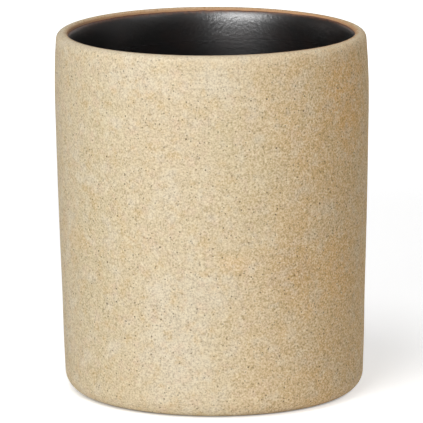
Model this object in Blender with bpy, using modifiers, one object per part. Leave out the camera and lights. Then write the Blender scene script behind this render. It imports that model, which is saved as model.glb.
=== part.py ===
"""A stoneware toothbrush cup: a bare fired clay body with a glaze coat fused to its inside.

Lengths are in metres and +Z is up. The origin is the centre of the foot, on the surface
that the cup stands on. Both pieces are turned shapes about the Z axis.
"""

import math

import bpy

# Outside of the clay body
CUP_HEIGHT = 0.1000
BASE_RADIUS = 0.0410
BELLY_RADIUS = 0.0432
RIM_ZONE_HEIGHT = 0.0170
RIM_DRAW_IN = 0.0007
BASE_CORNER_RADIUS = 0.0052

# The taper below the belly: a power of 1 is a straight cone, and 2 is a full curve
TAPER_POWER = 1.4

# Wall and lip: the lip's two rounds are shares of the wall, and a narrow flat crown is left between them
WALL_THICKNESS = 0.0030
LIP_OUTER_SHARE = 0.63
LIP_INNER_SHARE = 0.24

# Floor and foot: the cup stands on a flat ring round a shallow recess
FLOOR_THICKNESS = 0.0050
INNER_CORNER_RADIUS = 0.0070
FOOT_RING_WIDTH = 0.0070
FOOT_RECESS_DEPTH = 0.0008
FOOT_RECESS_SLOPE_WIDTH = 0.0012

# Glaze coat on the inside
GLAZE_THICKNESS = 0.0004
GLAZE_CLEARANCE = 0.0003
GLAZE_LINE_DEPTH = 0.0008

# Fineness of the turned meshes
TURN_STEPS = 72
WALL_STEPS = 12
BORE_STEPS = 9
ROUND_STEPS = 6
SMALL_ROUND_STEPS = 4
MERGE_DISTANCE = 0.00001

# Derived places
BELLY_HEIGHT = CUP_HEIGHT - RIM_ZONE_HEIGHT
LIP_OUTER_RADIUS = WALL_THICKNESS * LIP_OUTER_SHARE
LIP_INNER_RADIUS = WALL_THICKNESS * LIP_INNER_SHARE
GLAZE_INNER_OFFSET = GLAZE_CLEARANCE + GLAZE_THICKNESS

# Colours are linear red, green and blue
CLAY_COLOUR = (0.68, 0.56, 0.36)
CLAY_ROUGHNESS = 0.9
GLAZE_COLOUR = (0.012, 0.010, 0.010)
GLAZE_ROUGHNESS = 0.28


def wall_radius(height):
    """Outer radius of the body: fullest at the belly, narrower at the foot and drawn in at the rim."""
    if height < BELLY_HEIGHT:
        drop_share = 1 - height / BELLY_HEIGHT
        return BELLY_RADIUS - (BELLY_RADIUS - BASE_RADIUS) * drop_share ** TAPER_POWER
    rise_share = (height - BELLY_HEIGHT) / RIM_ZONE_HEIGHT
    return BELLY_RADIUS - RIM_DRAW_IN * rise_share ** 2


def bore_radius(height, offset=0.0):
    """Inner radius at one height, an offset further in than the clay wall."""
    return wall_radius(height) - WALL_THICKNESS - offset


def arc(centre_radius, centre_height, radius, start, end, steps):
    """Points on a circular arc, both ends included; angles are in radians from the +X direction."""
    angles = [start + (end - start) * step / steps for step in range(steps + 1)]
    return [
        (centre_radius + radius * math.cos(angle), centre_height + radius * math.sin(angle))
        for angle in angles
    ]


def corner_arc(radius_at, flat_height, radius, side, steps):
    """Arc from a wall round to a flat face, tangent to both.

    radius_at gives the wall's radius at a height. side is 1 where the flat face is the wall's
    top and -1 where it is its bottom.
    """
    centre_height = flat_height - side * radius
    rise = radius / steps
    slope = (radius_at(centre_height + rise) - radius_at(centre_height - rise)) / (2 * rise)
    lean = math.atan(-side * slope)
    touch_height = centre_height + side * radius * math.sin(lean)
    centre_radius = radius_at(touch_height) - radius * math.cos(lean)
    return arc(centre_radius, centre_height, radius, side * lean, side * math.pi / 2, steps)


def wall_line(radius_at, start_height, end_height, steps):
    """Points on a wall strictly between two heights."""
    heights = [start_height + (end_height - start_height) * step / steps for step in range(1, steps)]
    return [(radius_at(height), height) for height in heights]


def inside_line(offset):
    """The inside from the centre of the floor, round the corner and up to the bore's foot."""
    floor_height = FLOOR_THICKNESS + offset
    corner = corner_arc(
        lambda height: bore_radius(height, offset),
        floor_height,
        INNER_CORNER_RADIUS - offset,
        -1,
        ROUND_STEPS,
    )
    return [(0.0, floor_height)] + corner[::-1]


def body_profile():
    """Half section of the clay body, from the inner floor up over the lip and down to the underside."""
    inside = inside_line(0.0)
    bore_top = CUP_HEIGHT - LIP_INNER_RADIUS
    inner_lip = arc(
        bore_radius(bore_top) + LIP_INNER_RADIUS,
        bore_top,
        LIP_INNER_RADIUS,
        math.pi,
        math.pi / 2,
        SMALL_ROUND_STEPS,
    )
    outer_lip = corner_arc(wall_radius, CUP_HEIGHT, LIP_OUTER_RADIUS, 1, ROUND_STEPS)[::-1]
    foot_corner = corner_arc(wall_radius, 0.0, BASE_CORNER_RADIUS, -1, ROUND_STEPS)
    ring_inner_radius = foot_corner[-1][0] - FOOT_RING_WIDTH
    underside = [
        (ring_inner_radius, 0.0),
        (ring_inner_radius - FOOT_RECESS_SLOPE_WIDTH, FOOT_RECESS_DEPTH),
        (0.0, FOOT_RECESS_DEPTH),
    ]
    bore = wall_line(bore_radius, inside[-1][1], bore_top, BORE_STEPS)
    wall = wall_line(wall_radius, outer_lip[-1][1], foot_corner[0][1], WALL_STEPS)
    return inside + bore + inner_lip + outer_lip + wall + foot_corner + underside


def glaze_profile():
    """Half section of the glaze coat: up its inner face, over its rounded edge and down its clay side."""
    inner = inside_line(GLAZE_INNER_OFFSET)
    outer = inside_line(GLAZE_CLEARANCE)
    shoulder = CUP_HEIGHT - GLAZE_LINE_DEPTH - GLAZE_THICKNESS
    edge = arc(
        bore_radius(shoulder, GLAZE_CLEARANCE),
        shoulder,
        GLAZE_THICKNESS,
        math.pi,
        math.pi / 2,
        SMALL_ROUND_STEPS,
    )
    face = wall_line(
        lambda height: bore_radius(height, GLAZE_INNER_OFFSET), inner[-1][1], shoulder, BORE_STEPS
    )
    back = wall_line(
        lambda height: bore_radius(height, GLAZE_CLEARANCE), shoulder, outer[-1][1], BORE_STEPS
    )
    return inner + face + edge + back + outer[::-1]


def principled(name, colour, roughness):
    """A material with one Principled shader."""
    material = bpy.data.materials.new(name)
    material.use_nodes = True
    shader = material.node_tree.nodes["Principled BSDF"]
    shader.inputs["Base Color"].default_value = (*colour, 1.0)
    shader.inputs["Roughness"].default_value = roughness
    shader.inputs["Metallic"].default_value = 0.0
    return material


def turned_part(name, profile, material, collection):
    """A closed solid: the half section turned about the Z axis with a Screw modifier."""
    mesh = bpy.data.meshes.new(name)
    vertices = [(radius, 0.0, height) for radius, height in profile]
    edges = [(index, index + 1) for index in range(len(profile) - 1)]
    mesh.from_pydata(vertices, edges, [])
    mesh.materials.append(material)
    part = bpy.data.objects.new(name, mesh)
    collection.objects.link(part)
    turn = part.modifiers.new("turn", "SCREW")
    turn.axis = "Z"
    turn.angle = math.tau
    turn.steps = TURN_STEPS
    turn.render_steps = TURN_STEPS
    turn.use_merge_vertices = True
    turn.merge_threshold = MERGE_DISTANCE
    turn.use_smooth_shade = True
    return part


def main():
    for item in list(bpy.data.objects):
        bpy.data.objects.remove(item)
    cup = bpy.data.collections.new("toothbrush_cup")
    bpy.context.scene.collection.children.link(cup)

    clay = principled("unglazed_stoneware", CLAY_COLOUR, CLAY_ROUGHNESS)
    glaze = principled("dark_iron_glaze", GLAZE_COLOUR, GLAZE_ROUGHNESS)
    turned_part("stoneware_body", body_profile(), clay, cup)
    turned_part("inner_glaze", glaze_profile(), glaze, cup)


main()
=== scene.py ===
"""The looks of a stoneware toothbrush cup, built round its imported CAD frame.

Run as a script, it makes the clay body, the glaze coat and the stage with one operator each. The
same operators are listed on a panel in the 3D view's sidebar. Lengths are in metres and +Z is up.
Azimuths are in degrees round the cup: 0 is the viewer's side (-Y) and 90 is the viewer's right (+X).
"""

import math

import bpy
import numpy as np
from bpy.props import FloatProperty, PointerProperty, StringProperty
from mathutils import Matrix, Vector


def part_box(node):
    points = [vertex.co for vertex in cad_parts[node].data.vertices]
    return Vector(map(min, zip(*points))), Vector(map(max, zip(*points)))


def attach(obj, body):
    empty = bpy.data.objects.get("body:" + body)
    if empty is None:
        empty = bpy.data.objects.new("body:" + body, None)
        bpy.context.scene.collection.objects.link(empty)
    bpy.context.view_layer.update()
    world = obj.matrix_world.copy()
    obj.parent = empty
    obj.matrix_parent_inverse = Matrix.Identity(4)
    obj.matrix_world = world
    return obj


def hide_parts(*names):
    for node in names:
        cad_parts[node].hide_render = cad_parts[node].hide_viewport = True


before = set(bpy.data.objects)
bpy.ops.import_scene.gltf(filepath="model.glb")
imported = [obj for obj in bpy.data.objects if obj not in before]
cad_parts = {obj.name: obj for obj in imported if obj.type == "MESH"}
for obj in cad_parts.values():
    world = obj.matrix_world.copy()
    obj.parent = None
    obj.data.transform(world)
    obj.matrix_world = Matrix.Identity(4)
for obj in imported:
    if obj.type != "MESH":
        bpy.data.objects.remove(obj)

bl_info = {
    "name": "Stoneware Toothbrush Cup",
    "version": (1, 0, 0),
    "blender": (4, 5, 0),
    "location": "View3D > Sidebar > Cup",
    "description": "Makes a stoneware toothbrush cup: a bare clay body with a dark glaze inside",
    "category": "Add Mesh",
}

MM = 0.001

BODY_NODE = "stoneware_body"
GLAZE_NODE = "inner_glaze"
BODY_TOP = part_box(BODY_NODE)[1]

# Image that the camera is set for, in pixels, the width of Blender's default sensor in millimetres, and how
# far the camera sees
IMAGE_SIDE = 423
SENSOR_WIDTH = 36.0
SIGHT = 10.0

# Floor: its radius and corners, its gap to the foot, and the distances from the cup between which its lift
# grows to full white
FLOOR_RADIUS = 3.0
FLOOR_CORNERS = 96
FLOOR_GAP = 0.02 * MM
SHADOW_REACH = 0.25
SWEEP_REACH = 0.55

# Distances from the axis between which the floor's lift rises from nothing, at the edge of the foot
CONTACT_START = 36.4 * MM
CONTACT_END = 39.4 * MM
WHITE = (1.0, 1.0, 1.0, 1.0)

# Backdrop, as gloss sees it: the angles from straight behind and above the horizon at which it ends, each
# with the angle at which it is full
BACKDROP_SIDES = (math.radians(60.0), math.radians(40.0))
BACKDROP_TOP = (math.radians(45.0), math.radians(25.0))

# Soft boxes, all at one distance: name, azimuth and elevation in degrees, width and height
LAMP_DISTANCE = 1.3
SOFT_BOXES = (
    ("key", -28.0, 64.0, 0.45, 0.60),
    ("strip", -24.0, 14.0, 0.80, 0.26),
    ("fill", 55.0, 25.0, 0.80, 0.35),
    ("rim", 130.0, 30.0, 0.40, 0.40),
)


class CupShape(bpy.types.PropertyGroup):
    """Sizes of the clay body and of its handmade irregularities."""

    height: FloatProperty(
        name="Height", description="From the foot to the crown of the lip",
        default=BODY_TOP.z, unit="LENGTH",
    )
    belly_radius: FloatProperty(
        name="Belly Radius", description="Outer radius at the widest height",
        default=BODY_TOP.x, unit="LENGTH",
    )
    base_radius: FloatProperty(
        name="Base Radius", description="Outer radius of the wall carried down to the foot",
        default=41.0 * MM, unit="LENGTH",
    )
    rim_zone: FloatProperty(
        name="Rim Zone", description="Height below the crown over which the wall draws in",
        default=17.0 * MM, unit="LENGTH",
    )
    rim_draw_in: FloatProperty(
        name="Rim Draw-in", description="How far the wall draws in at the rim",
        default=0.7 * MM, unit="LENGTH",
    )
    taper_power: FloatProperty(
        name="Taper Power", description="Curve of the wall below the belly: 1 is a cone, 2 a full curve",
        default=1.4,
    )
    base_fullness: FloatProperty(
        name="Base Fullness", description="How much fuller than its curve the wall is low down",
        default=0.19 * MM, unit="LENGTH",
    )
    base_corner: FloatProperty(
        name="Base Corner", description="Radius of the round between wall and foot",
        default=5.2 * MM, unit="LENGTH",
    )
    lip_wall: FloatProperty(
        name="Lip Wall", description="Thickness of the clay at the lip",
        default=3.0 * MM, unit="LENGTH",
    )
    body_wall: FloatProperty(
        name="Body Wall", description="Thickness of the clay from the belly down",
        default=4.2 * MM, unit="LENGTH",
    )
    flare_depth: FloatProperty(
        name="Flare Depth",
        description="Depth below the lip in which the bore's flare falls to about a third",
        default=4.2 * MM, unit="LENGTH",
    )
    lip_outer_share: FloatProperty(
        name="Outer Lip Share", description="Outer round of the lip, as a share of the wall",
        default=0.63, subtype="FACTOR",
    )
    lip_inner_share: FloatProperty(
        name="Inner Lip Share", description="Inner round of the lip, as a share of the wall",
        default=0.24, subtype="FACTOR",
    )
    floor: FloatProperty(
        name="Floor", description="Thickness of the clay floor",
        default=5.0 * MM, unit="LENGTH",
    )
    inner_corner: FloatProperty(
        name="Inner Corner", description="Radius of the round between bore and floor",
        default=7.0 * MM, unit="LENGTH",
    )
    foot_ring: FloatProperty(
        name="Foot Ring", description="Width of the flat ring that the cup stands on",
        default=7.0 * MM, unit="LENGTH",
    )
    foot_slope: FloatProperty(
        name="Foot Slope", description="Width of the slope from the ring into the recess",
        default=1.2 * MM, unit="LENGTH",
    )
    foot_recess: FloatProperty(
        name="Foot Recess", description="Depth of the recess inside the foot ring",
        default=0.8 * MM, unit="LENGTH",
    )
    lean: FloatProperty(
        name="Lean", description="How far the rim sits sideways of the foot, towards -X",
        default=0.86 * MM, unit="LENGTH",
    )
    rim_tilt: FloatProperty(
        name="Rim Tilt", description="How much higher the rim is on its high side than at its middle",
        default=0.20 * MM, unit="LENGTH",
    )
    rim_saddle: FloatProperty(
        name="Rim Saddle", description="How far the rim bends up and down into a saddle",
        default=0.09 * MM, unit="LENGTH",
    )
    rim_oval: FloatProperty(
        name="Rim Oval", description="How much wider than round the rim is along X",
        default=0.10 * MM, unit="LENGTH",
    )
    wall_ripple: FloatProperty(
        name="Wall Ripple", description="Height of the casting's slow unevenness",
        default=0.03 * MM, unit="LENGTH",
    )


class GlazeShape(bpy.types.PropertyGroup):
    """Sizes of the glaze coat."""

    thickness: FloatProperty(
        name="Thickness", description="Fired thickness of the coat, away from its edge",
        default=0.35 * MM, unit="LENGTH",
    )
    line_depth: FloatProperty(
        name="Line Depth", description="Mean depth of the glaze line below the crown",
        default=0.66 * MM, unit="LENGTH",
    )
    line_slant: FloatProperty(
        name="Line Slant", description="How much deeper than its mean the glaze line is at the back left",
        default=0.38 * MM, unit="LENGTH",
    )
    line_dip: FloatProperty(
        name="Line Dip", description="How much deeper the glaze line dips at +X",
        default=0.5 * MM, unit="LENGTH",
    )
    line_wander: FloatProperty(
        name="Line Wander", description="Height of the glaze line's uneven waves",
        default=0.09 * MM, unit="LENGTH",
    )
    feather: FloatProperty(
        name="Feather", description="Distance from the line at which the coat is about two thirds as thick",
        default=1.1 * MM, unit="LENGTH",
    )
    ripple: FloatProperty(
        name="Ripple", description="Height of the slow unevenness of the glaze surface",
        default=0.02 * MM, unit="LENGTH",
    )


class CupColours(bpy.types.PropertyGroup):
    """Colours as sRGB hex codes."""

    sand: StringProperty(name="Sand", description="Main colour of the fired clay", default="DECCA9")
    blush: StringProperty(name="Blush", description="Pinkish clouds in the clay", default="E2C8AC")
    rust: StringProperty(name="Rust", description="Clouds that iron stains orange", default="DABE8C")
    olive: StringProperty(name="Olive", description="Duller, yellower zones of the clay", default="D8C8A0")
    ash: StringProperty(name="Ash", description="Greyish clouds in the clay", default="E5D9C2")
    ochre: StringProperty(name="Ochre", description="Clay where the kiln has flashed it", default="E2BE88")
    flame: StringProperty(name="Flame", description="Orange marks of the flame on the clay", default="EABB78")
    flame_brown: StringProperty(name="Flame Brown", description="Brown marks of the flame", default="D3AA70")
    grain: StringProperty(name="Grain", description="Dark sand grains", default="8F6C36")
    light_grain: StringProperty(name="Light Grain", description="Pale sand grains", default="FFF3D8")
    speck: StringProperty(name="Speck", description="Iron specks in the clay", default="5C3E10")
    # Painted sheen: a paler colour on the lip, standing in for the light that its smooth, sponged crown
    # catches
    sponged: StringProperty(name="Lip Sheen", description="Clay of the lip, sponged smooth", default="F8EAD0")
    scorch: StringProperty(
        name="Scorch", description="Clay stained by the glaze beside its line", default="D2A075"
    )
    glaze: StringProperty(name="Glaze", description="Thick glaze", default="121111")
    glaze_cloud: StringProperty(
        name="Glaze Cloud", description="Red-brown clouds in the glaze", default="1C1311"
    )
    glaze_break: StringProperty(
        name="Glaze Break", description="Glaze where it thins out and breaks brown", default="6C3B10"
    )
    floor: StringProperty(name="Floor", description="Studio floor", default="F2F2F2")


class StageSettings(bpy.types.PropertyGroup):
    """The studio: the camera's place and the light levels."""

    camera_distance: FloatProperty(
        name="Camera Distance", description="From the camera to the point it looks at",
        default=1.5, unit="LENGTH",
    )
    camera_elevation: FloatProperty(
        name="Camera Elevation", description="Angle of the view below the horizontal",
        default=math.radians(11.348), subtype="ANGLE",
    )
    focal_pixels: FloatProperty(
        name="Focal Length", description="Focal length in pixels of the square image", default=5418.6
    )
    aim_side: FloatProperty(
        name="Aim Side", description="The point the camera looks at, along X",
        default=-0.37 * MM, unit="LENGTH",
    )
    aim_height: FloatProperty(
        name="Aim Height", description="The point the camera looks at, along Z",
        default=49.34 * MM, unit="LENGTH",
    )
    key_power: FloatProperty(
        name="Key Power", description="Watts of the high soft box", default=6.1, unit="POWER"
    )
    strip_power: FloatProperty(
        name="Strip Power", description="Watts of the low front soft box", default=8.4, unit="POWER"
    )
    fill_power: FloatProperty(
        name="Fill Power", description="Watts of the soft box on the right", default=1.0, unit="POWER"
    )
    rim_power: FloatProperty(
        name="Rim Power", description="Watts of the soft box behind on the right", default=2.3, unit="POWER"
    )
    world_level: FloatProperty(
        name="World Level", description="Radiance of the studio's walls", default=0.105
    )
    floor_lift: FloatProperty(
        name="Floor Lift", description="Light added to the floor where the camera sees it", default=0.55
    )


def linear(hex_code):
    """Red, green, blue and alpha in linear light, from an sRGB hex code."""
    channels = [int(hex_code[start:start + 2], 16) / 255 for start in (0, 2, 4)]
    return [c / 12.92 if c <= 0.04045 else ((c + 0.055) / 1.055) ** 2.4 for c in channels] + [1.0]


def smooth_step(value):
    """3t^2 - 2t^3 of the value clipped to 0..1: a smooth rise from 0 to 1."""
    t = np.clip(value, 0.0, 1.0)
    return t * t * (3.0 - 2.0 * t)


# Heights between which the wall grows fuller than its curve
FULL_ZONE = (30.0 * MM, 14.0 * MM)

# Depth to which the bore's flare is drawn with points of its own, in flare depths
FLARE_REACH = 3.5

# Points on each part of the two profiles
INNER_LIP_POINTS = 14
FLARE_POINTS = 48
BORE_POINTS = 40
INNER_CORNER_POINTS = 16
FLOOR_POINTS = 14
OUTER_LIP_POINTS = 24
WALL_POINTS = 84
BASE_CORNER_POINTS = 20
RING_POINTS = 5
SLOPE_POINTS = 9
RECESS_POINTS = 12


def wall_radius(shape, height):
    """Outer radius at each height.

    Below the belly the radius falls off as a power of the distance from it, and above the belly
    as the square of the share of the rim zone that is climbed. Low down it grows a little again, in
    a smooth step between the two heights of FULL_ZONE.
    """
    belly_height = shape.height - shape.rim_zone
    drop = np.clip(1.0 - height / belly_height, 0.0, 1.0) ** shape.taper_power
    rise = np.clip((height - belly_height) / shape.rim_zone, 0.0, 1.0) ** 2
    full = smooth_step((FULL_ZONE[0] - height) / (FULL_ZONE[0] - FULL_ZONE[1]))
    taper = shape.belly_radius - (shape.belly_radius - shape.base_radius) * drop
    return taper + shape.base_fullness * full - shape.rim_draw_in * rise


def arc(centre, radius, start, end, count):
    """Points (radius, height) on a circular arc, both ends included, angles in radians from +X."""
    angle = np.linspace(start, end, count)
    return np.stack([centre[0] + radius * np.cos(angle), centre[1] + radius * np.sin(angle)], axis=1)


def corner_arc(radius_at, flat_height, radius, side, count):
    """Arc from a wall round to a flat face, tangent to both.

    side is 1 where the flat face is the wall's top and -1 where it is its bottom. The arc starts
    where its own normal is the wall's, leaned by the wall's slope.
    """
    centre_height = flat_height - side * radius
    rise = radius / count
    slope = (radius_at(centre_height + rise) - radius_at(centre_height - rise)) / (2.0 * rise)
    lean = math.atan(-side * slope)
    touch_height = centre_height + side * radius * math.sin(lean)
    centre_radius = radius_at(touch_height) - radius * math.cos(lean)
    return arc((centre_radius, centre_height), radius, side * lean, side * math.pi / 2, count)


def wall_line(radius_at, start, end, count):
    """Points on a wall at evenly spaced heights, without the two ends."""
    heights = np.linspace(start, end, count + 2)[1:-1]
    return np.stack([radius_at(heights), heights], axis=1)


def bore_radius(shape, height):
    """Inner radius of the clay at each height.

    The bore follows the wall up to the belly and goes straight on to the rim. It flares out there to
    the lip's own thickness, and the flare falls off exponentially with the depth below the lip.
    """
    belly_height = shape.height - shape.rim_zone
    body = wall_radius(shape, np.minimum(height, belly_height)) - shape.body_wall
    lip_radius = shape.belly_radius - shape.rim_draw_in - shape.lip_wall
    flare = lip_radius - (shape.belly_radius - shape.body_wall)
    lip_foot = shape.height - shape.lip_wall * shape.lip_inner_share
    return body + flare * np.exp(-(lip_foot - height) / shape.flare_depth)


def bore_profile(shape):
    """The clay's inside from the crown's inner end down over the lip and the bore to the floor's centre."""
    def radius_at(height):
        return bore_radius(shape, height)

    lip = shape.lip_wall * shape.lip_inner_share
    lip_foot = shape.height - lip
    flare_foot = lip_foot - FLARE_REACH * shape.flare_depth
    inner_lip = arc((radius_at(lip_foot) + lip, lip_foot), lip, math.pi / 2, math.pi, INNER_LIP_POINTS)
    corner = corner_arc(radius_at, shape.floor, shape.inner_corner, -1, INNER_CORNER_POINTS)
    flare = wall_line(radius_at, lip_foot, flare_foot, FLARE_POINTS)
    bore = wall_line(radius_at, flare_foot, corner[0, 1], BORE_POINTS)
    floor_radii = np.linspace(corner[-1, 0], 0.0, FLOOR_POINTS)[1:]
    floor = np.stack([floor_radii, np.full_like(floor_radii, shape.floor)], axis=1)
    return np.concatenate([inner_lip, flare, bore, corner, floor])


def body_profile(shape):
    """Half section of the clay body, from the inner floor's centre over the lip to the underside's centre.

    The underside rises from the flat foot ring into its recess along a smooth step.
    """
    def outer_radius(height):
        return wall_radius(shape, height)

    lip = shape.lip_wall * shape.lip_outer_share
    outer_lip = corner_arc(outer_radius, shape.height, lip, 1, OUTER_LIP_POINTS)[::-1]
    foot = corner_arc(outer_radius, 0.0, shape.base_corner, -1, BASE_CORNER_POINTS)
    wall = wall_line(outer_radius, outer_lip[-1, 1], foot[0, 1], WALL_POINTS)
    ring_inner = foot[-1, 0] - shape.foot_ring
    ring_radii = np.linspace(foot[-1, 0], ring_inner, RING_POINTS)[1:-1]
    slope_radii = np.linspace(ring_inner, ring_inner - shape.foot_slope, SLOPE_POINTS)
    recess_radii = np.linspace(ring_inner - shape.foot_slope, 0.0, RECESS_POINTS)[1:]
    radii = np.concatenate([ring_radii, slope_radii, recess_radii])
    rise = smooth_step((ring_inner - radii) / shape.foot_slope)
    underside = np.stack([radii, shape.foot_recess * rise], axis=1)
    return np.concatenate([bore_profile(shape)[::-1], outer_lip, wall, foot, underside])


def arc_length(profile):
    """Distance along a profile from its first point to each point."""
    steps = np.hypot(*np.diff(profile, axis=0).T)
    return np.concatenate([[0.0], np.cumsum(steps)])


def waves(angle, height, seed, count, turns, length):
    """A closed random field round the cup: cosine waves added up, over the root of their number.

    Each wave has a whole number of turns round the cup, from none up to turns, a wavelength up the
    cup of at least length, and a random phase.
    """
    random = np.random.default_rng(seed)
    total = np.zeros(np.broadcast(angle, height).shape)
    for _ in range(count):
        round_turns = random.integers(0, turns + 1)
        rise = random.uniform(-1.0, 1.0) * math.tau / length
        phase = random.uniform(0.0, math.tau)
        total = total + np.cos(round_turns * angle + rise * height + phase)
    return total / math.sqrt(count)


# Directions from +X in which the rim is tipped up, and in which its saddle is high
TILT_SIDE = math.radians(33.0)
SADDLE_SIDE = math.radians(115.0)


def settle(shape, radius, angle, height):
    """Turns (radius, angle, height) into x, y, z, with the handmade lean and warp.

    The section slides along X in proportion to the height above the middle. The rim is tipped up on
    one side, by the cosine of the angle, and bent into a saddle, by the cosine of twice the angle.
    Both grow with the fourth power of the height, so the foot stays flat. The rim is wider along X
    than along Y, by the cosine of twice the angle, and that grows with the square of the height. All
    but the lean die away towards the axis.
    """
    climb = height / shape.height
    out = radius / shape.belly_radius
    wide = radius + shape.rim_oval * out * climb ** 2 * np.cos(2.0 * angle)
    x = wide * np.cos(angle) - shape.lean * (climb - 0.5)
    y = wide * np.sin(angle)
    tip = shape.rim_tilt * out * np.cos(angle - TILT_SIDE)
    saddle = shape.rim_saddle * out ** 2 * np.cos(2.0 * (angle - SADDLE_SIDE))
    return x, y, height + climb ** 4 * (tip + saddle)


def ring_mesh(name, x, y, z, attributes):
    """A closed mesh from a grid of rows round the Z axis, whose first and last rows are poles.

    Row i, column j joins to row i + 1 and column j + 1, and the columns close on themselves. The
    faces point outwards where the rows run down the outside and the columns run anticlockwise.
    """
    rows, columns = x.shape
    points = np.stack([x, y, z], axis=2)
    vertices = np.concatenate([points[:1, 0], points[1:-1].reshape(-1, 3), points[-1:, 0]])
    index = 1 + np.arange((rows - 2) * columns).reshape(rows - 2, columns)
    right = np.roll(index, -1, axis=1)
    quads = np.stack([index[:-1], index[1:], right[1:], right[:-1]], axis=2).reshape(-1, 4)
    last = len(vertices) - 1
    first_fan = np.stack([np.zeros(columns, int), index[0], right[0]], axis=1)
    last_fan = np.stack([index[-1], np.full(columns, last), right[-1]], axis=1)
    mesh = bpy.data.meshes.new(name)
    mesh.from_pydata(vertices, [], quads.tolist() + first_fan.tolist() + last_fan.tolist())
    mesh.shade_smooth()
    for label, values in attributes.items():
        flat = np.concatenate([values[:1, 0], values[1:-1].ravel(), values[-1:, 0]])
        layer = mesh.attributes.new(label, "FLOAT", "POINT")
        layer.data.foreach_set("value", flat.astype(np.float32))
    mesh.validate()
    return mesh


def place(mesh, material, node):
    """Puts a mesh in the scene as a piece of the root body, in place of a CAD node."""
    mesh.materials.append(material)
    piece = bpy.data.objects.new(mesh.name, mesh)
    bpy.context.scene.collection.objects.link(piece)
    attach(piece, "root")
    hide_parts(node)


# Columns of the meshes round the cup, and the direction in which the glaze line is deepest, from +X
COLUMNS = 320
BACK_LEFT = math.radians(160.0)

# Points of the bore's profile that surely reach below the glaze line
LINE_POINTS = 40

# The glaze line's waves, slow and quick: the share of its wander, the seed, how many waves there are, and
# the most turns that one has round the cup
LINE_WAVES = ((0.6, 11, 8, 9), (0.4, 12, 24, 70))


def glaze_line(shape, glaze, angle):
    """Distance of the glaze line from the crown's inner end, along the clay, at each angle.

    The line's depth is its mean, plus a slant towards the back left, a dip at +X that falls off as
    the sixth power of the cosine, and random waves. The depth is turned into a distance along the
    lip's inner round and the bore.
    """
    depth = glaze.line_depth + glaze.line_slant * np.cos(angle - BACK_LEFT)
    depth = depth + glaze.line_dip * np.clip(np.cos(angle), 0.0, 1.0) ** 6
    for share, seed, count, turns in LINE_WAVES:
        depth = depth + glaze.line_wander * share * waves(angle, 0.0, seed, count, turns, 1.0)
    profile = bore_profile(shape)[:LINE_POINTS]
    return np.interp(depth, shape.height - profile[:, 1], arc_length(profile))


# Stain beside the glaze: its strength at the line, and its reach over the clay
SCORCH_STRENGTH = 0.95
SCORCH_REACH = 1.10 * MM

# Painted sheen on the lip: the smooth, sponged crown is painted paler where it catches the light. Its
# strength at the crown, and its reach down the outside
SHEEN_STRENGTH = 0.45
SHEEN_REACH = 3.0 * MM

# Height over which the wall's ripple grows from nothing, so that the foot stays flat
RIPPLE_START = 10.0 * MM


def body_mesh(shape, glaze):
    """The clay body: its profile turned about Z, rippled outwards and settled.

    The ripple dies away towards the axis with the square of the radius. The attribute scorch fades
    from the glaze line over the lip as a bell curve, and the lip's painted sheen, which makes the crown
    paler where it catches the light, fades from the crown down the outside as another.
    """
    profile = body_profile(shape)
    angle = np.linspace(0.0, math.tau, COLUMNS, endpoint=False)[None, :]
    radius = profile[:, :1]
    height = profile[:, 1:]
    climb = smooth_step(height / RIPPLE_START)
    ripple = shape.wall_ripple * climb * waves(
        angle, height, seed=21, count=36, turns=9, length=26.0 * MM
    )
    ripple = ripple * (radius / shape.belly_radius) ** 2
    from_crown = arc_length(profile)[len(bore_profile(shape)) - 1] - arc_length(profile)[:, None]
    above_line = glaze_line(shape, glaze, angle) - from_crown
    scorch = SCORCH_STRENGTH * np.exp(-(np.clip(above_line, 0.0, None) / SCORCH_REACH) ** 2)
    # Painted sheen: the lip is made paler from the crown down the outside, standing in for the light it
    # catches
    outside = np.clip(-from_crown, 0.0, None)
    sponged = np.where(from_crown < 0.0, SHEEN_STRENGTH * np.exp(-(outside / SHEEN_REACH) ** 2), 0.0)
    sponged = np.broadcast_to(sponged, scorch.shape)
    x, y, z = settle(shape, radius + ripple, angle, height)
    return ring_mesh("clay_body", x, y, z, {"scorch": scorch, "sponged": sponged})


# Radius inside which the glaze's unevenness dies away towards the centre of the floor
CALM_RADIUS = 30.0 * MM

# Rows of the glaze down the inside: those crowded near the line, the distance that they reach, and the
# others. Then its hidden back: how many rows of the front it has one for, and how deep it lies in the clay
NEAR_ROWS = 32
NEAR_REACH = 4.0 * MM
FAR_ROWS = 149
BACK_ROW_STEP = 3
BACK_SINK = 0.06 * MM

# Distance below the line over which the rows lose its waves
LINE_FADE = 15.0 * MM

# Distance below the line at which the thin edge has faded to about a third, and by what share it is wider
# at the back left and narrower opposite
THIN_REACH = 0.75 * MM
THIN_SPREAD = 0.2


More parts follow.
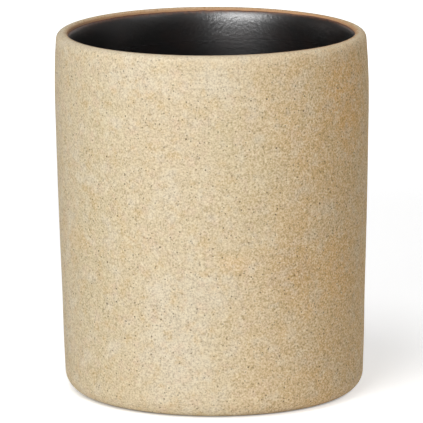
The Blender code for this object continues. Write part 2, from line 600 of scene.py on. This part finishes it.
def glaze_mesh(shape, glaze):
    """The glaze coat: a skin over the clay's inside, from its wavy line to the floor's centre.

    Each row lies at one distance d from the line, measured along the clay, and the line's own waves
    fade out over the upper rows. The skin thickens from nothing at the line towards its full
    thickness, exponentially with d, and its slow unevenness dies away at the floor's centre. Its back
    is sunk a little into the clay, so that nothing shows between the two. The attribute thin is 1 at
    the line and fades downwards.
    """
    profile = bore_profile(shape)
    length = arc_length(profile)
    tangent = np.gradient(profile, length, axis=0)
    normal = np.stack([tangent[:, 1], -tangent[:, 0]], axis=1)
    normal /= np.hypot(*normal.T)[:, None]
    angle = np.linspace(0.0, math.tau, COLUMNS, endpoint=False)[None, :]
    line = glaze_line(shape, glaze, angle)
    near = NEAR_REACH * np.linspace(0.0, 1.0, NEAR_ROWS) ** 2
    far = np.linspace(NEAR_REACH, length[-1], FAR_ROWS + 1)[1:]
    distance = np.concatenate([near, far])[:, None]

    def skin(d, stand_off):
        """Radius and height at a distance from the line, stood off from the clay along its normal."""
        along = np.minimum(d + line * (1.0 - smooth_step(d / LINE_FADE)), length[-1])
        r = np.interp(along, length, profile[:, 0]) + stand_off * np.interp(along, length, normal[:, 0])
        h = np.interp(along, length, profile[:, 1]) + stand_off * np.interp(along, length, normal[:, 1])
        return r, h

    feather = 1.0 - np.exp(-distance / glaze.feather)
    calm = smooth_step(np.interp(distance, length, profile[:, 0]) / CALM_RADIUS)
    uneven = glaze.ripple * feather * calm * waves(
        angle, distance, seed=31, count=40, turns=14, length=14.0 * MM
    )
    front_r, front_h = skin(distance, glaze.thickness * feather + uneven)
    back_r, back_h = skin(distance[::BACK_ROW_STEP], -BACK_SINK)
    radius = np.concatenate([front_r[::-1], back_r])
    height = np.concatenate([front_h[::-1], back_h])
    radius[0] = 0.0
    radius[-1] = 0.0
    thin = np.exp(-distance / (THIN_REACH * (1.0 + THIN_SPREAD * np.cos(angle - BACK_LEFT))))
    thin = np.concatenate([thin[::-1], np.ones_like(back_r)])
    x, y, z = settle(shape, radius, angle, height)
    return ring_mesh("glaze_coat", x, y, z, {"thin": thin})


def pick(sockets, name):
    """The socket of one name or number, among those that the node's settings leave in use."""
    used = [socket for socket in sockets if socket.enabled]
    return used[name] if isinstance(name, int) else next(socket for socket in used if socket.name == name)


def add_node(tree, kind, settings, inputs, output=0):
    """Adds a node with its settings, sets or links its inputs, and gives one of its outputs."""
    node = tree.nodes.new(kind)
    for name, value in settings.items():
        setattr(node, name, value)
    for name, value in inputs.items():
        if isinstance(value, bpy.types.NodeSocket):
            tree.links.new(value, pick(node.inputs, name))
        else:
            pick(node.inputs, name).default_value = value
    return pick(node.outputs, output) if node.outputs else None


def new_material(name):
    """An empty node material, and its node tree."""
    material = bpy.data.materials.new(name)
    material.use_nodes = True
    material.node_tree.nodes.clear()
    return material, material.node_tree


# Settings that several nodes share: noise whose fourth coordinate is a seed, and a smooth ramp between two
# values
SEEDED = {"noise_dimensions": "4D"}
SMOOTH = {"interpolation_type": "SMOOTHSTEP"}


def patches(tree, where, size, seed, low, high, strength):
    """A mask of soft patches: noise of one feature size, raised smoothly to strength between low and high."""
    cloud = add_node(
        tree, "ShaderNodeTexNoise", SEEDED,
        {"Vector": where, "W": seed, "Scale": 1.0 / size, "Detail": 2.5, "Roughness": 0.6},
    )
    return add_node(
        tree, "ShaderNodeMapRange", SMOOTH,
        {"Value": cloud, "From Min": low, "From Max": high, "To Min": 0.0, "To Max": strength},
    )


def grains(tree, where, spacing, radius, strength):
    """A mask of scattered round grains: strength inside a grain and 0 between them.

    Each cell of a Voronoi pattern holds one grain. Its radius is the given one, less a random part of
    up to GRAIN_SPREAD of it, and its edge is soft over GRAIN_SOFTNESS of it.
    """
    share = radius / spacing
    away = add_node(tree, "ShaderNodeTexVoronoi", {}, {"Vector": where, "Scale": 1.0 / spacing}, "Distance")
    chance = add_node(tree, "ShaderNodeSeparateColor", {}, {"Color": away.node.outputs["Color"]}, "Red")
    edge = add_node(
        tree, "ShaderNodeMath", {"operation": "MULTIPLY_ADD"}, {0: chance, 1: -GRAIN_SPREAD * share, 2: share}
    )
    inside = add_node(tree, "ShaderNodeMath", {"operation": "SUBTRACT"}, {0: edge, 1: away})
    return add_node(
        tree, "ShaderNodeMapRange", SMOOTH,
        {"Value": inside, "From Max": GRAIN_SOFTNESS * share, "To Max": strength},
    )


# How far the ragged noise pushes a mark's edge, and the pushed distances at which the mark starts to fade
# and ends, all in half sizes of the mark. The noise is about a half, so the mark ends at 1.25 on average
RAGGEDNESS = 1.6
MARK_FADE = 1.05
MARK_END = 2.05


def soft_mark(tree, where, ragged, azimuth, height, half_width, half_height, strength):
    """A mask of one soft patch on the wall: strength at its middle, and 0 some way past its half sizes.

    The distance from the middle is measured in a frame turned to the azimuth and scaled by the two
    half sizes, in millimetres. The ragged noise, 0 to 1, pushes it in and out.
    """
    turn = math.radians(azimuth)
    placed = add_node(
        tree, "ShaderNodeMapping", {"vector_type": "TEXTURE"},
        {
            "Vector": where,
            "Location": (BODY_TOP.x * math.sin(turn), -BODY_TOP.x * math.cos(turn), height * MM),
            "Rotation": (0.0, 0.0, turn),
            "Scale": (half_width * MM, half_width * MM, half_height * MM),
        },
    )
    away = add_node(tree, "ShaderNodeVectorMath", {"operation": "LENGTH"}, {"Vector": placed})
    away = add_node(
        tree, "ShaderNodeMath", {"operation": "MULTIPLY_ADD"}, {0: ragged, 1: RAGGEDNESS, 2: away}
    )
    return add_node(
        tree, "ShaderNodeMapRange", SMOOTH,
        {"Value": away, "From Min": MARK_FADE, "From Max": MARK_END, "To Min": strength, "To Max": 0.0},
    )


def lay_over(tree, colour, layers):
    """Lays tints over a colour, each where its own mask is."""
    for mask, tint in layers:
        colour = add_node(
            tree, "ShaderNodeMix", {"data_type": "RGBA"}, {"Factor": mask, "A": colour, "B": linear(tint)}
        )
    return colour


# Marks of the flame and of the clay's own unevenness: the tint's name, the azimuth in degrees, the height,
# the half width and the half height in millimetres, and the strength
MARKS = (
    ("flame", 58, 85, 12, 17, 1.00),
    ("flame", 52, 37, 12, 12, 0.60),
    ("flame_brown", 30, 42, 9, 11, 0.50),
    ("flame_brown", 39, 37, 5, 6, 0.35),
    ("olive", 16, 66, 11, 18, 0.30),
    ("olive", 4, 79, 9, 9, 0.45),
    ("olive", -42, 84, 7, 9, 0.40),
    ("flame", 8, 43, 6, 4, 0.35),
    ("blush", -12, 82, 14, 22, 0.15),
    ("ash", -15, 20, 12, 22, 0.60),
    ("ash", -2, 36, 11, 8, 0.45),
    ("ash", -32, 92, 9, 7, 0.50),
    ("ash", 2, 93, 9, 6, 0.50),
    ("olive", -50, 45, 13, 50, 0.45),
    ("flame", -62, 46, 12, 4, 0.22),
)

# Clouds in the clay: the tint's name, the feature size in millimetres, the seed and the strength
CLOUDS = (("blush", 3.4, 1.3, 0.55), ("rust", 2.8, 2.7, 0.60), ("ash", 4.2, 4.1, 0.60))

# How unlike in size the grains are, and how soft their edges, as shares of their radius
GRAIN_SPREAD = 0.6
GRAIN_SOFTNESS = 0.6


def clay_material(colours):
    """Unglazed stoneware: sandy clay, cast and fired bare, so it is matt and slightly rough to the touch.

    The sand-coloured clay has clouds of blush, rust and ash. It is ochre on the side that the kiln
    flashed, with a few flame marks, and brown beside the glaze. Its lip is painted paler, a painted sheen
    where the crown catches the light. It holds fine sand, pale grog and
    iron specks, which show as round dots of a few tenths of a millimetre.
    """
    material, tree = new_material("bare_stoneware")
    where = add_node(tree, "ShaderNodeTexCoord", {}, {}, "Object")

    # The kiln's flashing: more ochre towards +X, in patches
    side = add_node(tree, "ShaderNodeSeparateXYZ", {}, {"Vector": where}, "X")
    flashed = add_node(
        tree, "ShaderNodeMapRange", SMOOTH, {"Value": side, "From Min": -6.0 * MM, "From Max": 36.0 * MM}
    )
    licks = add_node(
        tree, "ShaderNodeTexNoise", SEEDED,
        {"Vector": where, "W": 5.3, "Scale": 1.0 / (9.0 * MM), "Detail": 4.0, "Roughness": 0.6},
    )
    patchy = add_node(
        tree, "ShaderNodeMapRange", SMOOTH,
        {"Value": licks, "From Min": 0.36, "From Max": 0.64, "To Min": 0.70, "To Max": 1.15},
    )
    ochre = add_node(tree, "ShaderNodeMath", {"operation": "MULTIPLY"}, {0: flashed, 1: patchy})
    layers = [(ochre, colours.ochre)]

    ragged = add_node(
        tree, "ShaderNodeTexNoise", SEEDED,
        {"Vector": where, "W": 8.9, "Scale": 1.0 / (5.0 * MM), "Detail": 4.0, "Roughness": 0.65},
    )
    for tint, *mark in MARKS:
        layers.append((soft_mark(tree, where, ragged, *mark), getattr(colours, tint)))

    # The flashed side is less clouded and its sand is bolder
    for tint, size, seed, strength in CLOUDS:
        calmer = add_node(
            tree, "ShaderNodeMapRange", {}, {"Value": flashed, "To Min": strength, "To Max": 0.55 * strength}
        )
        cloud = patches(tree, where, size * MM, seed, low=0.48, high=0.70, strength=calmer)
        layers.append((cloud, getattr(colours, tint)))

    # Sand: dark grains where the noise is high and pale ones where it is low
    fine = add_node(
        tree, "ShaderNodeTexNoise", SEEDED,
        {"Vector": where, "Scale": 1.0 / (0.5 * MM), "Detail": 2.0, "Roughness": 0.6},
    )
    coarse = add_node(
        tree, "ShaderNodeTexNoise", SEEDED,
        {"Vector": where, "W": 3.1, "Scale": 1.0 / (1.4 * MM), "Detail": 3.0, "Roughness": 0.7},
    )
    sandy = add_node(tree, "ShaderNodeMath", {"operation": "MULTIPLY_ADD"}, {0: coarse, 1: 0.3, 2: fine})
    bolder = add_node(tree, "ShaderNodeMapRange", {}, {"Value": flashed, "To Min": 0.94, "To Max": 1.24})
    for limit, tint in ((1.03, colours.grain), (0.30, colours.light_grain)):
        sand = add_node(
            tree, "ShaderNodeMapRange", {},
            {"Value": sandy, "From Min": 0.65, "From Max": limit, "To Min": 0.0, "To Max": bolder},
        )
        layers.append((sand, tint))

    # Iron specks: many small faint ones and a few bold ones
    bold = grains(tree, where, spacing=2.4 * MM, radius=0.37 * MM, strength=0.90)
    faint = grains(tree, where, spacing=1.2 * MM, radius=0.33 * MM, strength=0.68)
    layers.append((faint, colours.speck))
    layers.append((bold, colours.speck))

    scorch = add_node(tree, "ShaderNodeAttribute", {"attribute_name": "scorch"}, {}, "Fac")
    # Painted sheen: the lip is painted paler where its smooth, sponged crown catches the light
    sponged = add_node(tree, "ShaderNodeAttribute", {"attribute_name": "sponged"}, {}, "Fac")
    layers.append((sponged, colours.sponged))
    layers.append((scorch, colours.scorch))

    # The surface: grit, slow unevenness of the cast wall, and pits at the bold specks
    grit = add_node(
        tree, "ShaderNodeTexNoise", SEEDED,
        {"Vector": where, "W": 6.1, "Scale": 1.0 / (0.45 * MM), "Detail": 3.0, "Roughness": 0.6},
    )
    swell = add_node(
        tree, "ShaderNodeTexNoise", SEEDED,
        {"Vector": where, "W": 7.3, "Scale": 1.0 / (2.2 * MM), "Detail": 2.0, "Roughness": 0.5},
    )
    relief = add_node(tree, "ShaderNodeMath", {"operation": "MULTIPLY_ADD"}, {0: swell, 1: 0.8, 2: grit})
    relief = add_node(tree, "ShaderNodeMath", {"operation": "MULTIPLY_ADD"}, {0: bold, 1: -0.55, 2: relief})
    bump = add_node(tree, "ShaderNodeBump", {}, {"Strength": 0.35, "Distance": 0.06 * MM, "Height": relief})
    colour = lay_over(tree, linear(colours.sand), layers)
    shader = add_node(
        tree, "ShaderNodeBsdfPrincipled", {},
        {"Base Color": colour, "Roughness": 0.88, "IOR": 1.5, "Normal": bump},
    )
    add_node(tree, "ShaderNodeOutputMaterial", {}, {"Surface": shader})
    return material


def glaze_material(colours):
    """Iron glaze, poured in and fired: nearly black where thick, red-brown where thin, semi-gloss.

    Crystals of iron in its skin make it mirror more than clear glass does. Its orange peel, about a
    millimetre across with a finer one over it, breaks up the highlight. It grows rougher towards the
    line, and its thin edge is dry and as dull as the clay.
    """
    material, tree = new_material("poured_iron_glaze")
    where = add_node(tree, "ShaderNodeTexCoord", {}, {}, "Object")
    thin = add_node(tree, "ShaderNodeAttribute", {"attribute_name": "thin"}, {}, "Fac")
    freckle = add_node(
        tree, "ShaderNodeTexNoise", SEEDED,
        {"Vector": where, "Scale": 1.0 / (0.9 * MM), "Detail": 2.0, "Roughness": 0.5},
    )
    uneven = add_node(
        tree, "ShaderNodeMapRange", SMOOTH,
        {"Value": freckle, "From Min": 0.30, "From Max": 0.70, "To Min": 0.7, "To Max": 1.2},
    )
    breaking = add_node(tree, "ShaderNodeMath", {"operation": "MULTIPLY"}, {0: thin, 1: uneven})
    breaking = add_node(
        tree, "ShaderNodeMapRange", SMOOTH, {"Value": breaking, "From Min": 0.15, "From Max": 0.85}
    )
    cloudy = patches(tree, where, size=6.0 * MM, seed=0.0, low=0.40, high=0.70, strength=1.0)
    layers = [(cloudy, colours.glaze_cloud), (breaking, colours.glaze_break)]

    # Orange peel: dimples about a millimetre across, and finer ones over them
    peel = add_node(
        tree, "ShaderNodeTexNoise", SEEDED,
        {"Vector": where, "Scale": 1.0 / (1.0 * MM), "Detail": 1.0, "Roughness": 0.5},
    )
    fine = add_node(
        tree, "ShaderNodeTexNoise", SEEDED,
        {"Vector": where, "Scale": 1.0 / (0.42 * MM), "Detail": 1.0, "Roughness": 0.5},
    )
    relief = add_node(tree, "ShaderNodeMath", {"operation": "MULTIPLY_ADD"}, {0: fine, 1: 0.65, 2: peel})
    bump = add_node(tree, "ShaderNodeBump", {}, {"Strength": 1.0, "Distance": 0.040 * MM, "Height": relief})
    colour = lay_over(tree, linear(colours.glaze), layers)

    # Rougher towards the line, over a few millimetres, and dry at the line itself
    edge = add_node(tree, "ShaderNodeMath", {"operation": "POWER"}, {0: thin, 1: 0.32})
    rough = add_node(tree, "ShaderNodeMapRange", {}, {"Value": edge, "To Min": 0.27, "To Max": 0.42})
    rough = add_node(
        tree, "ShaderNodeMapRange", SMOOTH,
        {"Value": thin, "From Min": 0.40, "From Max": 0.95, "To Min": rough, "To Max": 0.95},
    )
    shader = add_node(
        tree, "ShaderNodeBsdfPrincipled", {},
        {"Base Color": colour, "Roughness": rough, "IOR": 2.25, "Normal": bump},
    )
    add_node(tree, "ShaderNodeOutputMaterial", {}, {"Surface": shader})
    return material


def backdrop_ray(tree, share):
    """1 on the camera's rays, and share on rays off gloss or through glass, which see the backdrop too."""
    camera = add_node(tree, "ShaderNodeLightPath", {}, {}, "Is Camera Ray")
    paths = camera.node.outputs
    mirrored = add_node(
        tree, "ShaderNodeMath", {"operation": "MAXIMUM"},
        {0: paths["Is Glossy Ray"], 1: paths["Is Transmission Ray"]},
    )
    mirrored = add_node(tree, "ShaderNodeMath", {"operation": "MULTIPLY"}, {0: mirrored, 1: share})
    return add_node(tree, "ShaderNodeMath", {"operation": "MAXIMUM"}, {0: camera, 1: mirrored})


def floor_material(colours, lift):
    """Matt white paper sweep, lifted to white where the camera sees it, so that only the shadow shows.

    The lift grows to full white away from the cup, where the sweep runs up into the backdrop, and
    fades out at the foot, so that the dark line of contact stays.
    """
    material, tree = new_material("paper_sweep")
    paper = add_node(tree, "ShaderNodeBsdfDiffuse", {}, {"Color": linear(colours.floor)})
    where = add_node(tree, "ShaderNodeTexCoord", {}, {}, "Object")
    away = add_node(tree, "ShaderNodeVectorMath", {"operation": "LENGTH"}, {"Vector": where})
    strength = add_node(
        tree, "ShaderNodeMapRange", SMOOTH,
        {"Value": away, "From Min": SHADOW_REACH, "From Max": SWEEP_REACH, "To Min": lift, "To Max": 1.0},
    )
    strength = add_node(
        tree, "ShaderNodeMapRange", SMOOTH,
        {
            "Value": away,
            "From Min": CONTACT_START,
            "From Max": CONTACT_END,
            "To Min": 0.0,
            "To Max": strength,
        },
    )
    glow = add_node(tree, "ShaderNodeEmission", {}, {"Color": WHITE, "Strength": strength})
    lifted = add_node(tree, "ShaderNodeAddShader", {}, {0: paper, 1: glow})
    seen = add_node(tree, "ShaderNodeMixShader", {}, {0: backdrop_ray(tree, 1.0), 1: paper, 2: lifted})
    add_node(tree, "ShaderNodeOutputMaterial", {}, {"Surface": seen})
    return material


def light_world(level):
    """A dim studio with a white backdrop behind the cup.

    The camera sees plain white all round. Gloss and glass see that white where the backdrop stands,
    low down and behind the cup, and the dim studio elsewhere.
    """
    world = bpy.data.worlds.new("studio")
    world.use_nodes = True
    tree = world.node_tree
    tree.nodes.clear()
    outwards = add_node(tree, "ShaderNodeTexCoord", {}, {}, "Generated")
    backwards = add_node(tree, "ShaderNodeSeparateXYZ", {}, {"Vector": outwards}, "Y")
    upwards = backwards.node.outputs["Z"]
    behind = add_node(
        tree, "ShaderNodeMapRange", SMOOTH,
        {
            "Value": backwards,
            "From Min": math.cos(BACKDROP_SIDES[0]),
            "From Max": math.cos(BACKDROP_SIDES[1]),
        },
    )
    backdrop = add_node(
        tree, "ShaderNodeMapRange", SMOOTH,
        {
            "Value": upwards,
            "From Min": math.sin(BACKDROP_TOP[0]),
            "From Max": math.sin(BACKDROP_TOP[1]),
            "To Min": 0.0,
            "To Max": behind,
        },
    )
    strength = add_node(
        tree, "ShaderNodeMapRange", {},
        {"Value": backdrop_ray(tree, backdrop), "To Min": level, "To Max": 1.0},
    )
    studio = add_node(tree, "ShaderNodeBackground", {}, {"Color": WHITE, "Strength": strength})
    add_node(tree, "ShaderNodeOutputWorld", {}, {"Surface": studio})
    bpy.context.scene.world = world


def soft_box(name, azimuth, elevation, width, height, power):
    """A rectangular area lamp aimed at the middle of the cup."""
    lamp = bpy.data.lights.new(name, "AREA")
    lamp.shape = "RECTANGLE"
    lamp.size = width
    lamp.size_y = height
    lamp.energy = power
    turn = math.radians(azimuth)
    rise = math.radians(elevation)
    box = bpy.data.objects.new(name, lamp)
    box.location = (
        LAMP_DISTANCE * math.cos(rise) * math.sin(turn),
        -LAMP_DISTANCE * math.cos(rise) * math.cos(turn),
        BODY_TOP.z / 2 + LAMP_DISTANCE * math.sin(rise),
    )
    box.rotation_euler = (math.pi / 2 - rise, 0.0, turn)
    bpy.context.scene.collection.objects.link(box)


def studio_floor(colours, lift):
    """A round matt floor just under the foot."""
    angle = np.linspace(0.0, math.tau, FLOOR_CORNERS, endpoint=False)
    drop = np.full(FLOOR_CORNERS, -FLOOR_GAP)
    points = np.stack([FLOOR_RADIUS * np.cos(angle), FLOOR_RADIUS * np.sin(angle), drop], axis=1)
    mesh = bpy.data.meshes.new("studio_floor")
    mesh.from_pydata(points, [], [list(range(FLOOR_CORNERS))])
    mesh.materials.append(floor_material(colours, lift))
    floor = bpy.data.objects.new("studio_floor", mesh)
    bpy.context.scene.collection.objects.link(floor)


def add_camera(stage):
    """A long lens that looks down at the cup from the front."""
    camera = bpy.data.cameras.new("camera")
    camera.sensor_width = SENSOR_WIDTH
    camera.lens = stage.focal_pixels / IMAGE_SIDE * SENSOR_WIDTH
    camera.clip_end = SIGHT
    rise = stage.camera_elevation
    viewer = bpy.data.objects.new("camera", camera)
    viewer.location = (
        stage.aim_side,
        -stage.camera_distance * math.cos(rise),
        stage.aim_height + stage.camera_distance * math.sin(rise),
    )
    viewer.rotation_euler = (math.pi / 2 - rise, 0.0, 0.0)
    bpy.context.scene.collection.objects.link(viewer)
    bpy.context.scene.camera = viewer


class CUP_OT_stage(bpy.types.Operator):
    """Add the floor, the lamps, the world and the camera"""

    bl_idname = "cup.stage"
    bl_label = "Studio Stage"

    def execute(self, context):
        stage = context.scene.cup_stage
        context.scene.view_settings.view_transform = "Standard"
        add_camera(stage)
        studio_floor(context.scene.cup_colours, stage.floor_lift)
        light_world(stage.world_level)
        for name, azimuth, elevation, width, height in SOFT_BOXES:
            soft_box(f"{name}_box", azimuth, elevation, width, height, getattr(stage, f"{name}_power"))
        return {"FINISHED"}


class CUP_OT_clay_body(bpy.types.Operator):
    """Add the bare clay body"""

    bl_idname = "cup.clay_body"
    bl_label = "Clay Body"

    def execute(self, context):
        scene = context.scene
        mesh = body_mesh(scene.cup_shape, scene.cup_glaze)
        place(mesh, clay_material(scene.cup_colours), BODY_NODE)
        return {"FINISHED"}


class CUP_OT_glaze_coat(bpy.types.Operator):
    """Add the glaze coat on the inside"""

    bl_idname = "cup.glaze_coat"
    bl_label = "Glaze Coat"

    def execute(self, context):
        scene = context.scene
        mesh = glaze_mesh(scene.cup_shape, scene.cup_glaze)
        place(mesh, glaze_material(scene.cup_colours), GLAZE_NODE)
        return {"FINISHED"}


class CUP_PT_panel(bpy.types.Panel):
    """Lists the cup's operators"""

    bl_label = "Toothbrush Cup"
    bl_idname = "CUP_PT_panel"
    bl_space_type = "VIEW_3D"
    bl_region_type = "UI"
    bl_category = "Cup"

    def draw(self, context):
        for operator in OPERATORS:
            self.layout.operator(operator.bl_idname)


OPERATORS = (CUP_OT_stage, CUP_OT_clay_body, CUP_OT_glaze_coat)
GROUPS = {
    "cup_shape": CupShape,
    "cup_glaze": GlazeShape,
    "cup_colours": CupColours,
    "cup_stage": StageSettings,
}


def register():
    """Registers the groups, the operators and the panel."""
    for group in GROUPS.values():
        bpy.utils.register_class(group)
    for name, group in GROUPS.items():
        setattr(bpy.types.Scene, name, PointerProperty(type=group))
    for item in OPERATORS + (CUP_PT_panel,):
        bpy.utils.register_class(item)


def unregister():
    """Takes back what register did."""
    for item in OPERATORS + (CUP_PT_panel,):
        bpy.utils.unregister_class(item)
    for name, group in GROUPS.items():
        delattr(bpy.types.Scene, name)
        bpy.utils.unregister_class(group)


def main():
    """Makes the stage and the cup."""
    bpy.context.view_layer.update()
    register()
    bpy.ops.cup.stage()
    bpy.ops.cup.clay_body()
    bpy.ops.cup.glaze_coat()


if __name__ == "__main__":
    main()
